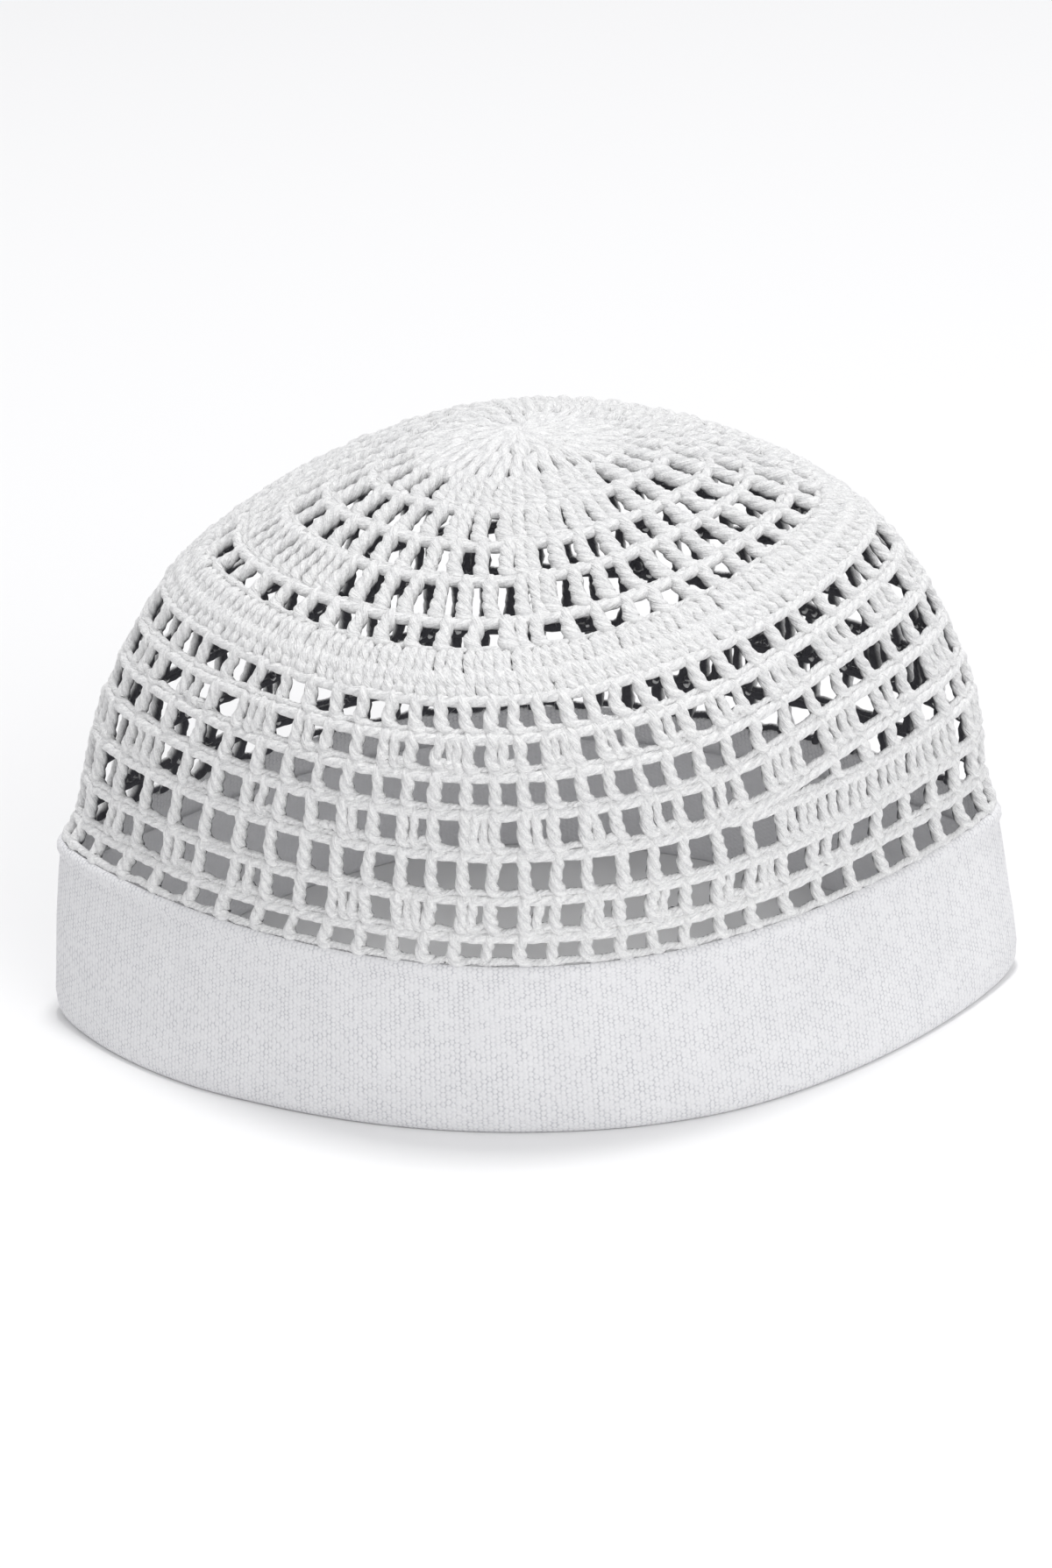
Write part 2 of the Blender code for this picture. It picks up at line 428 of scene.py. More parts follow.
class Crown:
    """The crown's outer face, read from a table of rings."""

    FIRST = 0.002
    LAST = 1.06
    ROWS = 240
    COUNT = 720
    # Metres travelled for one unit of down under the band's lip, about as on the crown above it
    UNDER_LIP = 0.12
    STEP = 0.002

    def __init__(self):
        rings = [self.ring(down) for down in np.linspace(self.FIRST, self.LAST, self.ROWS)]
        self.points = np.array([np.vstack([ring, ring[:1]]) for ring in rings])

    def ring(self, down):
        """Points of the face all round at a place down."""
        level = 1 - down**2 if down < 1 else -(down - 1) * self.UNDER_LIP / BAND_HEIGHT
        points, normals, _ = outline(level, self.COUNT)
        inset = LIP_WALL + CLEARANCE
        if level > 0:
            inset *= max(0.0, 1 - level / LIP_FADE) ** 2
        points = points - inset * normals
        rise = max(level, 0.0)
        height = BAND_HEIGHT + (CROWN_RISE * level if level > 0 else BAND_HEIGHT * level)
        slope_right = BAND_SLOPE_RIGHT + CROWN_SLOPE_RIGHT * rise
        slope_right += RIGHT_LEAN * math.sin(math.pi * min(max((down - LEAN_START) / LEAN_SPAN, 0), 1)) ** 2
        heights = height + slope_right * points[:, 0] + CROWN_SLOPE_BACK * rise * points[:, 1]
        return np.column_stack([points, heights + end_rise(points, level)])

    def fanned(self, down, around):
        """Places round the cap after the columns have fanned out."""
        past = (around + 0.25) % 0.5
        past = np.where(past > 0.25, past - 0.5, past)
        share = np.abs(past) / 0.25
        power = np.where(np.cos(2 * math.pi * around) < 0, FAN_POWER_LEFT, FAN_POWER_RIGHT)
        spread = FAN * np.clip(down - FAN_START, 0, 1) * (share - share**power)
        return around + 0.25 * np.sign(past) * spread

    def face(self, down, around):
        """Points of the face at (down, around) places of the crochet, which starts off the peak."""
        around = self.fanned(down, around)
        turn = 2 * math.pi * around
        fade = np.clip(1 - (down / START_FADE) ** 2, 0, 1) ** 2
        right = down * np.cos(turn) + START_RIGHT * fade
        back = down * np.sin(turn) + START_BACK * fade
        row = (np.hypot(right, back) - self.FIRST) / (self.LAST - self.FIRST) * (self.ROWS - 1)
        column = (np.arctan2(back, right) / (2 * math.pi)) % 1 * self.COUNT
        r = np.clip(row.astype(int), 0, self.ROWS - 2)
        c = np.clip(column.astype(int), 0, self.COUNT - 1)
        x = np.clip(row - r, 0, 1)[..., None]
        y = (column - c)[..., None]
        upper = self.points[r, c] * (1 - y) + self.points[r, c + 1] * y
        lower = self.points[r + 1, c] * (1 - y) + self.points[r + 1, c + 1] * y
        return upper * (1 - x) + lower * x

    def steps(self, down, around):
        """How the face moves for one unit of down and of around."""
        low = np.maximum(down - self.STEP, 0)
        high = down + self.STEP
        downward = (self.face(high, around) - self.face(low, around)) / (high - low)[..., None]
        ahead = self.face(down, around + self.STEP)
        behind = self.face(down, around - self.STEP)
        return downward, (ahead - behind) / (2 * self.STEP)

    def place(self, down, around, past, sideways, out):
        """Points near the face: past, sideways and out are in metres, from a (down, around) place."""
        down, around, past, sideways, out = np.broadcast_arrays(down, around, past, sideways, out)
        downward, rightward = self.steps(down, around)
        moved_down = np.maximum(down + past / np.linalg.norm(downward, axis=-1), 0)
        moved_round = around + sideways / np.maximum(np.linalg.norm(rightward, axis=-1), 0.004)
        downward, rightward = self.steps(moved_down, moved_round)
        facing = unit(np.cross(downward, rightward))
        return self.face(moved_down, moved_round) + facing * out[..., None], facing


def right_share(around):
    """How far the right end's count of rows holds: 1 at the right end and 0 at the front and left."""
    from_right = np.minimum(around % 1, 1 - around % 1)
    t = np.clip((RIGHT_REACH - from_right) / RIGHT_BLEND, 0, 1)
    return t * t * (3 - 2 * t)


def lower_rope(index, around):
    """Place down the crown of a rope of the lower net."""
    left, right = LOWER_ROPES[index]
    return left + (right - left) * right_share(around)


def crowded(count, crowding):
    """Places round the cap of a row's columns, from the left end over the front, closer at front and back."""
    fine = np.linspace(0.5, 1.5, 3001)
    closeness = crowding * (1 - 0.15 * np.cos(2 * math.pi * fine))
    density = 1 / (1 + closeness * np.cos(4 * math.pi * fine))
    passed = np.concatenate([[0], np.cumsum((density[1:] + density[:-1]) / 2)])
    return np.interp(np.arange(count), passed / passed[-1] * count, fine)


def table_curve(table, steps):
    """The columns of a table of sections, smoothly read at evenly spaced steps."""
    rows = np.array(table)
    places = np.arange(len(rows), dtype=float)
    at = np.linspace(0, len(rows) - 1, steps)
    return [smooth_through(places, column, at) for column in rows.T]


def mirrored(chart):
    """A chart of the front followed by the back as its mirror image."""
    return chart + chart[::-1]


def sweep(centres, facing, radii, yarn, sides, pitch, phase=0.0, closed=False, depth=None):
    """Plied strands along rows of centre points: their vertices, faces, UV map and shading values."""
    count, steps = centres.shape[:2]
    if closed:
        along = np.roll(centres, -1, axis=1) - np.roll(centres, 1, axis=1)
    else:
        along = np.gradient(centres, axis=1)
    along = unit(along)
    out = unit(facing - (facing * along).sum(-1, keepdims=True) * along)
    side = np.cross(along, out)
    gaps = np.linalg.norm(np.roll(centres, -1, axis=1) - centres, axis=-1)
    travelled = np.concatenate([np.zeros((count, 1)), np.cumsum(gaps, axis=1)], axis=1)
    whole = travelled[:, -1:] if closed else travelled[:, -2:-1]
    turns = np.round(whole / pitch) if closed else whole / pitch
    twist = -2 * math.pi * turns * travelled[:, :steps] / whole + np.reshape(phase, (-1, 1))
    spokes = 2 * math.pi * np.arange(sides) / sides
    lobes = np.cos(yarn.plies * spokes)
    depth = yarn.ply_depth if depth is None else depth
    angle = twist[..., None] + spokes
    reach = (np.broadcast_to(radii, (count, steps))[..., None] * (1 + depth * lobes))[..., None]
    spoke = np.cos(angle)[..., None] * out[:, :, None] + np.sin(angle)[..., None] * side[:, :, None]
    vertices = (centres[:, :, None] + reach * spoke).reshape(-1, 3)
    last = steps if closed else steps - 1
    strand, step, spot = np.meshgrid(np.arange(count), np.arange(last), np.arange(sides), indexing="ij")
    base = strand * steps
    after = (step + 1) % steps
    beside = (spot + 1) % sides
    quads = np.stack(
        [
            (base + step) * sides + spot,
            (base + step) * sides + beside,
            (base + after) * sides + beside,
            (base + after) * sides + spot,
        ],
        axis=-1,
    ).reshape(-1, 4)
    girth = 2 * math.pi * float(np.max(radii))
    start = travelled[strand, step]
    end = travelled[strand, step + 1]
    u = np.stack([start, start, end, end], axis=-1) + strand[..., None] * STRAND_SHIFT
    v = np.stack([spot, spot + 1, spot + 1, spot], axis=-1) / sides * girth
    caps = np.zeros((0, sides), int)
    if not closed:
        starts = np.arange(count)[:, None] * steps * sides
        caps = np.vstack([starts + np.arange(sides)[::-1], starts + (steps - 1) * sides + np.arange(sides)])
    return {
        "vertices": vertices,
        "quads": quads,
        "caps": caps,
        "uv": np.stack([u, v], axis=-1).reshape(-1, 2),
        "groove_shade": np.broadcast_to((1 - lobes) / 2, angle.shape).ravel(),
        "inner": ((1 - np.cos(angle)) / 2).ravel(),
    }


def new_piece(name, parts, material, uv_name):
    """One object from swept parts, with its UV map and shading values."""
    offsets = np.cumsum([0] + [len(part["vertices"]) for part in parts])
    vertices = np.vstack([part["vertices"] for part in parts])
    quads = np.vstack([part["quads"] + offset for part, offset in zip(parts, offsets)])
    caps = [(part["caps"] + offset).ravel() for part, offset in zip(parts, offsets)]
    cap_sizes = np.concatenate([np.full(len(part["caps"]), part["caps"].shape[1]) for part in parts])
    corners = np.concatenate([quads.ravel(), *caps]).astype(np.int32)
    sizes = np.concatenate([np.full(len(quads), 4), cap_sizes]).astype(np.int32)
    mesh = bpy.data.meshes.new(name)
    mesh.vertices.add(len(vertices))
    mesh.vertices.foreach_set("co", vertices.astype(np.float32).ravel())
    mesh.loops.add(len(corners))
    mesh.loops.foreach_set("vertex_index", corners)
    mesh.polygons.add(len(sizes))
    mesh.polygons.foreach_set("loop_start", np.concatenate([[0], np.cumsum(sizes)[:-1]]).astype(np.int32))
    mesh.update(calc_edges=True)
    uv = np.zeros((len(corners), 2), np.float32)
    uv[: 4 * len(quads)] = np.vstack([part["uv"] for part in parts])
    mesh.uv_layers.new(name=uv_name).data.foreach_set("uv", uv.ravel())
    for key in ("groove_shade", "inner"):
        values = np.concatenate([part[key] for part in parts]).astype(np.float32)
        mesh.attributes.new(key, "FLOAT", "POINT").data.foreach_set("value", values)
    mesh.shade_smooth()
    mesh.materials.append(material)
    piece = bpy.data.objects.new(name, mesh)
    bpy.context.scene.collection.objects.link(piece)
    return piece


def yarn_piece(name, parts, yarn):
    """A piece of the crochet, tied to the frame's crown."""
    piece = new_piece(name, parts, yarn_material(yarn), "strand")
    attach(piece, "root")
    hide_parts("crochet_crown")
    return piece


def posts(crown, yarn, places, upper, lower, thickness, table, rng,
          foot=1.3, steps=16, sides=12, loose=0.25, turns=1.0, lift=0.0):
    """A row of posts or stitches at places round the cap, from an upper line to a lower one."""
    way, past, out, sideways, thick = (column[None] for column in table_curve(table, steps))
    count = len(places)
    wobble = rng.normal(0, loose, (count, 3))
    around = places[:, None]
    top = np.broadcast_to(upper, (count,))[:, None]
    end = np.broadcast_to(lower, (count,))[:, None]
    downward, _ = crown.steps(end, around)
    end = end - foot * MM / np.linalg.norm(downward, axis=-1)
    lean = wobble[:, :1] * (1 - way) + wobble[:, 1:2] * way
    knots = np.linspace(0, steps - 1, 6)
    bend, swell = (
        smooth_through(knots, rng.normal(0, size, (6, count)), np.arange(steps)).T for size in (0.17, 0.06)
    )
    centres, facing = crown.place(
        top + (end - top) * way,
        around,
        past * MM,
        (sideways + lean + bend) * MM,
        (out + 0.3 * wobble[:, 2:] + lift * way**2) * MM,
    )
    sizes = 1 + rng.normal(0, 0.04, (count, 1)) + swell
    phase = rng.uniform(0, 2 * math.pi, count)
    return sweep(centres, facing, thickness / 2 * thick * sizes, yarn, sides, yarn.pitch / turns, phase)


def rope(crown, yarn, down_at, thickness, past, out, pitch, columns, sag, rough, rng, span=None, sides=12):
    """A strand round the cap along a line, sagging between its columns. A span makes it a short one."""
    first, last = span or (0.0, 1.0)
    closed = span is None
    fine = np.linspace(first, last, 400)
    path = crown.face(down_at(fine), fine)
    metres = np.linalg.norm(np.diff(path, axis=0), axis=1).sum()
    steps = int(metres / (0.75 * MM))
    around = np.linspace(first, last, steps, endpoint=not closed)
    column = np.interp((around - 0.5) % 1 + 0.5, columns, np.arange(len(columns)), period=1.0)
    dip = (1 - np.cos(2 * math.pi * column)) / 2
    knots = np.linspace(first, last, max(8, int(metres / (2.2 * MM))))
    unevenness = rng.normal(0, rough, (2, len(knots)))
    unevenness[:, -1] = unevenness[:, 0]
    drift, swell = (smooth_through(knots, values, around) for values in unevenness)
    lowered = (past + sag * dip + drift) * MM
    raised = (out + 0.5 * swell) * MM
    centres, facing = crown.place(down_at(around)[None], around[None], lowered[None], 0.0, raised[None])
    radii = (thickness / 2 * (1 + 0.3 * swell))[None]
    if not closed:
        radii = radii * np.clip(np.minimum(np.arange(steps), np.arange(steps)[::-1]) / 4 + 0.3, 0, 1)
    return sweep(centres, facing, radii, yarn, sides, pitch, closed=closed, depth=yarn.rope_depth)


def loops(crown, yarn, places, down, height, width, thickness, past, rng, steps=8, sides=8):
    """Small loops of loose yarn that stand up from a line at places round the cap."""
    across, rise, out = (column[None] for column in table_curve(LOOP_SECTIONS, steps))
    count = len(places)
    tall = height * rng.uniform(0.6, 1.4, (count, 1))
    lean = rng.normal(0, 0.4, (count, 1))
    centres, facing = crown.place(
        down[:, None], places[:, None], (past - tall * rise) * MM,
        (width * (across - 0.5) + lean * rise) * MM, (out + rng.normal(0, 0.2, (count, 1))) * MM
    )
    radii = thickness / 2 * (1 + rng.normal(0, 0.08, (count, 1))) * np.ones(steps)
    return sweep(centres, facing, radii, yarn, sides, yarn.pitch / 2, rng.uniform(0, 6, count))


def add_node(tree, kind, inputs=None, **settings):
    """A node with its settings, whose inputs are set to values or linked to other nodes' outputs."""
    node = tree.nodes.new(kind)
    for name, value in settings.items():
        setattr(node, name, value)
    for name, value in (inputs or {}).items():
        if isinstance(value, bpy.types.NodeSocket):
            tree.links.new(value, node.inputs[name])
        else:
            node.inputs[name].default_value = value
    return node


def new_material(name):
    """An empty node material and its tree."""
    material = bpy.data.materials.new(name)
    material.use_nodes = True
    material.node_tree.nodes.clear()
    return material, material.node_tree


def math_node(tree, operation, first, second=0.0):
    """The result of a sum on one or two values."""
    return add_node(tree, "ShaderNodeMath", {0: first, 1: second}, operation=operation).outputs[0]


def blended(tree, amount, first, second):
    """Two colours mixed by an amount."""
    mix = add_node(tree, "ShaderNodeMix", {MIX_FACTOR: amount, MIX_A: first, MIX_B: second}, data_type="RGBA")
    return mix.outputs[MIX_RESULT]


def noise(tree, vector, scale, detail=2.0):
    """Smooth noise, from 0 to 1, at so many bumps a unit of the vector."""
    made = add_node(tree, "ShaderNodeTexNoise", {"Vector": vector, "Scale": scale, "Detail": detail})
    return made.outputs["Fac"]


def yarn_material(yarn):
    """Bleached cotton yarn, plied and crocheted: matt and soft, with fine fibres that run along its plies,
    and painted shade between its plies and on its inward side.
    """
    name = "bleached cotton yarn, plied and crocheted"
    if name in bpy.data.materials:
        return bpy.data.materials[name]
    material, tree = new_material(name)
    strand = add_node(tree, "ShaderNodeUVMap", uv_map="strand").outputs["UV"]
    # Bundles of fibres about 2 mm long and 0.5 mm across, turned with the twist
    stretched = add_node(
        tree,
        "ShaderNodeMapping",
        {"Vector": strand, "Rotation": (0.0, 0.0, 0.45), "Scale": (2.2 * MM, 0.5 * MM, 1.0)},
        vector_type="TEXTURE",
    ).outputs["Vector"]
    streaks = noise(tree, stretched, 1.0, 2.0)
    fibres = add_node(
        tree, "ShaderNodeMapRange", {"Value": streaks, "From Min": 0.36, "From Max": 0.66}
    ).outputs["Result"]
    here = add_node(tree, "ShaderNodeTexCoord").outputs["Object"]
    fuzz = noise(tree, here, 1 / (0.45 * MM))
    patches = noise(tree, here, 1 / (22 * MM), 1.0)
    groove_shade = add_node(tree, "ShaderNodeAttribute", attribute_name="groove_shade").outputs["Fac"]
    inner = add_node(tree, "ShaderNodeAttribute", attribute_name="inner").outputs["Fac"]
    # Painted shade: darker with the square of the groove value, deepest between the plies
    depth = math_node(tree, "MULTIPLY", math_node(tree, "POWER", groove_shade, 2.0), 0.30)
    lines = math_node(tree, "MULTIPLY", math_node(tree, "SUBTRACT", 1.0, fibres), 0.28)
    lint = math_node(tree, "MULTIPLY", math_node(tree, "SUBTRACT", fuzz, 0.5), 0.9)
    dimming = math_node(tree, "ADD", math_node(tree, "ADD", depth, lines), lint)
    outside = blended(tree, dimming, tuple(yarn.light), tuple(yarn.groove_shade))
    tinted = blended(tree, math_node(tree, "MULTIPLY", patches, 0.10), outside, linear("#EDEEF3"))
    # Painted shade: the yarn's inward-facing side is darkened toward the inside colour
    inward_shade = add_node(
        tree,
        "ShaderNodeMapRange",
        {"Value": inner, "From Min": 0.55, "From Max": 0.9},
        interpolation_type="SMOOTHSTEP",
    ).outputs["Result"]
    final = blended(tree, inward_shade, tinted, tuple(yarn.shade))
    lumps = noise(tree, here, 1 / (1.1 * MM), 1.0)
    raised_fibres = math_node(tree, "MULTIPLY", fibres, 0.6)
    raised_fuzz = math_node(tree, "MULTIPLY", fuzz, 0.7)
    raised = math_node(tree, "ADD", raised_fibres, raised_fuzz)
    height = math_node(tree, "ADD", raised, math_node(tree, "MULTIPLY", lumps, 1.1))
    bump = add_node(tree, "ShaderNodeBump", {"Height": height, "Strength": 0.8, "Distance": 0.38 * MM})
    shader = add_node(
        tree,
        "ShaderNodeBsdfPrincipled",
        {
            "Base Color": final,
            "Normal": bump.outputs["Normal"],
            "Roughness": 0.9,
            "IOR": 1.53,
            "Specular IOR Level": 0.2,
            "Sheen Weight": 0.06,
            "Sheen Roughness": 0.5,
        },
    )
    output = add_node(tree, "ShaderNodeOutputMaterial", {"Surface": shader.outputs["BSDF"]})
    output.is_active_output = True
    return material


def cloth_material(cloth):
    """Bleached cotton cloth, woven: small raised threads in brick order with pits between them, with painted
    shade in the pits and on the inner layer.
    """
    material, tree = new_material("bleached cotton cloth, woven")
    strip = add_node(tree, "ShaderNodeUVMap", uv_map="strip").outputs["UV"]
    wander = noise(tree, strip, 1 / (1.8 * MM), 2.0)
    along, up, _ = add_node(tree, "ShaderNodeSeparateXYZ", {"Vector": strip}).outputs
    shift = math_node(tree, "MULTIPLY", wander, 0.8 * MM)
    shifted_along = math_node(tree, "ADD", along, shift)
    shifted_up = math_node(tree, "ADD", up, shift)
    turn = math_node(tree, "MULTIPLY", shifted_along, 2 * math.pi / cloth.thread_across)
    across_wave = math_node(tree, "COSINE", turn)
    rib = math_node(tree, "COSINE", math_node(tree, "MULTIPLY", turn, 2.0))
    turn_up = math_node(tree, "MULTIPLY", shifted_up, 2 * math.pi / cloth.thread_up)
    up_wave = math_node(tree, "COSINE", turn_up)
    crossing = math_node(tree, "MULTIPLY", across_wave, up_wave)
    weave = math_node(
        tree, "ADD", math_node(tree, "MULTIPLY", crossing, 0.6), math_node(tree, "MULTIPLY", rib, 0.4)
    )
    here = add_node(tree, "ShaderNodeTexCoord").outputs["Object"]
    fuzz = noise(tree, here, 1 / (0.5 * MM))
    mottle = noise(tree, here, 1 / (9 * MM), 3.0)
    inner = add_node(tree, "ShaderNodeAttribute", attribute_name="inner").outputs["Fac"]
    # Painted shade: darker where the weave is low, in the pits between threads
    pit_shade_amount = add_node(
        tree, "ShaderNodeMapRange", {"Value": weave, "From Min": 0.0, "From Max": -0.8, "To Max": 0.9}
    ).outputs["Result"]
    # Painted shade: some pits are darkened more than others, as if they were deeper
    spots = noise(tree, here, 1 / (1.6 * MM))
    uneven_pit_shade = add_node(
        tree,
        "ShaderNodeMapRange",
        {"Value": spots, "From Min": 0.38, "From Max": 0.62, "To Min": 0.3, "To Max": 1.5},
    ).outputs["Result"]
    pit_shade_dimming = math_node(tree, "MULTIPLY", pit_shade_amount, math_node(tree, "MULTIPLY", uneven_pit_shade, 0.8))
    dimming = math_node(tree, "ADD", pit_shade_dimming, math_node(tree, "MULTIPLY", mottle, 0.22))
    outside = blended(tree, dimming, tuple(cloth.light), tuple(cloth.pit_shade))
    # Painted shade: the inner layer, marked in the band's profile, takes the darker inside colour
    final = blended(tree, inner, outside, tuple(cloth.shade))
    raised_weave = math_node(tree, "MULTIPLY", weave, 0.5)
    height = math_node(tree, "ADD", raised_weave, math_node(tree, "MULTIPLY", fuzz, 0.6))
    bump = add_node(tree, "ShaderNodeBump", {"Height": height, "Strength": 0.6, "Distance": 0.18 * MM})
    shader = add_node(
        tree,
        "ShaderNodeBsdfPrincipled",
        {
            "Base Color": final,
            "Normal": bump.outputs["Normal"],
            "Roughness": 0.88,
            "IOR": 1.53,
            "Specular IOR Level": 0.25,
            "Sheen Weight": 0.12,
            "Sheen Roughness": 0.5,
        },
    )
    output = add_node(tree, "ShaderNodeOutputMaterial", {"Surface": shader.outputs["BSDF"]})
    output.is_active_output = True
    return material


def crown_shape():
    """The crown's table, made once."""
    if not hasattr(crown_shape, "made"):
        crown_shape.made = Crown()
    return crown_shape.made


class CAP_OT_lower_posts(bpy.types.Operator):
    """Make the posts of the lower net"""

    bl_idname = "cap.lower_posts"
    bl_label = "Lower posts"

    def execute(self, context):
        yarn = context.scene.cap_yarn
        crown = crown_shape()
        rng = np.random.default_rng(11)
        places = crowded(yarn.columns, yarn.crowding)
        parts = []
        for row in range(len(LOWER_CHARTS)):
            here = places
            if row == SHORT_ROPE - 1:
                here = places[lower_rope(row + 1, places) - lower_rope(row, places) > SHORT_ROW_LEAST]
            parts.append(
                posts(crown, yarn, here, lower_rope(row, here), lower_rope(row + 1, here), yarn.post,
                      POST_SECTIONS, rng, lift=1.4 * (row == len(LOWER_CHARTS) - 1))
            )
        yarn_piece("lower_posts", parts, yarn)
        return {"FINISHED"}


class CAP_OT_lower_fillers(bpy.types.Operator):
    """Fill the charted cells of the lower net"""

    bl_idname = "cap.lower_fillers"
    bl_label = "Filled cells"

    def execute(self, context):
        yarn = context.scene.cap_yarn
        crown = crown_shape()
        rng = np.random.default_rng(12)
        places = np.append(crowded(yarn.columns, yarn.crowding), 1.5)
        parts = []
        for row, chart in enumerate(LOWER_CHARTS):
            signs = np.array(list(mirrored(chart)))
            start, end = places[:-1], places[1:]
            extra = []
            for sign, shares in (("#", (0.36, 0.66)), ("h", (0.37,))):
                cells = signs == sign
                extra += [(start + (end - start) * s)[cells] for s in shares]
            extra = np.concatenate(extra)
            if len(extra):
                parts.append(
                    posts(crown, yarn, extra, lower_rope(row, extra), lower_rope(row + 1, extra), yarn.filler,
                          POST_SECTIONS, rng, sides=9, loose=0.35)
                )
            worked = signs != "."
            for along in (0.25, 0.5, 0.75):
                at = (start + (end - start) * along)[worked]
                if not len(at):
                    continue
                parts.append(
                    loops(crown, yarn, at, lower_rope(row + 1, at), height=1.3, width=2.4,
                          thickness=0.8 * yarn.filler, past=-1.6, rng=rng, sides=6)
                )
        yarn_piece("lower_fillers", parts, yarn)
        return {"FINISHED"}


class CAP_OT_lower_ropes(bpy.types.Operator):
    """Make the ropes that run round the lower net"""

    bl_idname = "cap.lower_ropes"
    bl_label = "Lower ropes"

    def execute(self, context):
        yarn = context.scene.cap_yarn
        crown = crown_shape()
        rng = np.random.default_rng(13)
        columns = crowded(yarn.columns, yarn.crowding)
        parts = []
        for index in range(len(LOWER_ROPES) - 1):
            span = SHORT_SPAN if index == SHORT_ROPE else None
            parts.append(
                rope(crown, yarn, lambda at, index=index: lower_rope(index, at), yarn.rope, past=0.0,
                     out=-1.1, pitch=yarn.rope_pitch, columns=columns, sag=0.1, rough=0.07, rng=rng,
                     span=span)
            )
        yarn_piece("lower_ropes", parts, yarn)
        return {"FINISHED"}


class CAP_OT_lower_chains(bpy.types.Operator):
    """Make the chains along the feet of the lower net"""

    bl_idname = "cap.lower_chains"
    bl_label = "Lower chains"

    def execute(self, context):
        yarn = context.scene.cap_yarn
        crown = crown_shape()
        rng = np.random.default_rng(14)
        columns = crowded(yarn.columns, yarn.crowding)
        parts = []
        for index in range(1, len(LOWER_ROPES)):
            span = SHORT_SPAN if index == SHORT_ROPE else None
            last = index == len(LOWER_ROPES) - 1
            # The last chain lies on the band's turned edge, so it is thicker and stands further out
            thickness = 1.2 * yarn.chain if last else yarn.chain
            out = 0.2 if last else -1.3
            parts.append(
                rope(crown, yarn, lambda at, index=index: lower_rope(index, at), thickness, past=-1.6,
                     out=out, pitch=0.5 * yarn.pitch, columns=columns, sag=0.15, rough=0.18, rng=rng,
                     span=span, sides=9)
            )
        yarn_piece("lower_chains", parts, yarn)
        return {"FINISHED"}


class CAP_OT_dense_ring(bpy.types.Operator):
    """Make the dense ring of close stitches"""

    bl_idname = "cap.dense_ring"
    bl_label = "Dense ring"

    def execute(self, context):
        yarn = context.scene.cap_yarn
        crown = crown_shape()
        rng = np.random.default_rng(15)
        places = crowded(yarn.dense_stitches, 0.5 * yarn.crowding)
        between = places + np.diff(np.append(places, 1.5)) / 2
        parts = [
            posts(crown, yarn, places, *DENSE_UPPER_ROW, yarn.dense, STITCH_SECTIONS, rng,
                  foot=0.0, steps=14, sides=9, loose=0.25, turns=1.2),
            posts(crown, yarn, between, DENSE_LOWER_START, lower_rope(0, between), yarn.dense,
                  STITCH_SECTIONS, rng, foot=0.8, steps=14, sides=9, loose=0.25, turns=1.2),
        ]
        yarn_piece("dense_ring", parts, yarn)
        return {"FINISHED"}


class CAP_OT_top_net(bpy.types.Operator):
    """Make the net above the dense ring"""

    bl_idname = "cap.top_net"
    bl_label = "Top net"

    def execute(self, context):
        yarn = context.scene.cap_yarn
        crown = crown_shape()
        rng = np.random.default_rng(16)
        nets, lines = [], []
        for upper, lower, count, chart, thickness in TOP_ROWS:
            places = crowded(count, 0.4 * yarn.crowding)
            ends = np.append(places, 1.5)
            nets.append(posts(crown, yarn, places, upper, lower, thickness * MM, POST_SECTIONS, rng))
            signs = np.array(list(mirrored(chart)))
            for sign, shares in (("#", (0.5,)), ("h", (0.4,))):
                extra = np.concatenate([(ends[:-1] + np.diff(ends) * s)[signs == sign] for s in shares])
                if len(extra):
                    nets.append(
                        posts(crown, yarn, extra, upper, lower, 0.85 * thickness * MM, POST_SECTIONS, rng)
                    )
            lines.append(
                rope(crown, yarn, lambda at, upper=upper: np.full_like(at, upper), yarn.rope, past=0.0,
                     out=-1.1, pitch=yarn.rope_pitch, columns=places, sag=0.1, rough=0.07, rng=rng)
            )
            lines.append(
                rope(crown, yarn, lambda at, lower=lower: np.full_like(at, lower), yarn.chain, past=-1.6,
                     out=-1.4, pitch=0.5 * yarn.pitch, columns=places, sag=0.15, rough=0.18, rng=rng, sides=9)
            )
        yarn_piece("top_posts", nets, yarn)
        yarn_piece("top_ropes", lines, yarn)
        return {"FINISHED"}


class CAP_OT_centre(bpy.types.Operator):
    """Make the closed centre of the crown"""

    bl_idname = "cap.centre"
    bl_label = "Closed centre"

    def execute(self, context):
        yarn = context.scene.cap_yarn
        crown = crown_shape()
        rng = np.random.default_rng(17)
        parts = []
        for upper, lower, count, thickness in CLOSED_ROWS:
            places = crowded(count, 0.0)
            parts.append(
                posts(crown, yarn, places, upper, lower, thickness * MM, STITCH_SECTIONS, rng,
                      foot=0.0, sides=12, loose=0.15, turns=0.4)
            )
        yarn_piece("closed_centre", parts, yarn)
        return {"FINISHED"}


def band_ring(inset, height, from_top, count):
    """Points of the band at an inset from its outer face, at a height above the rim or below its top."""
    level = -height / BAND_HEIGHT if from_top else height / BAND_HEIGHT - 1
    points, normals, around = outline(level, count)
    points = points - inset * normals
    places, forward = np.array(RIM_FORWARD).T
    across = np.clip(points[:, 0] / RIM_HALF_WIDTH, -1, 1)
    points[:, 1] += level * smooth_through(places, forward, across) * MM
    corner = min(max((-level - 0.75) / 0.25, 0), 1) ** 2
    points[:, 0] -= (CORNER_DRAWN_IN * corner - END_DRAWN_IN * level) * across**9
    heights = np.full(count, height)
    if from_top:
        heights = BAND_HEIGHT + BAND_SLOPE_RIGHT * points[:, 0] - height + end_rise(points, level)
    return np.column_stack([points, heights]), around


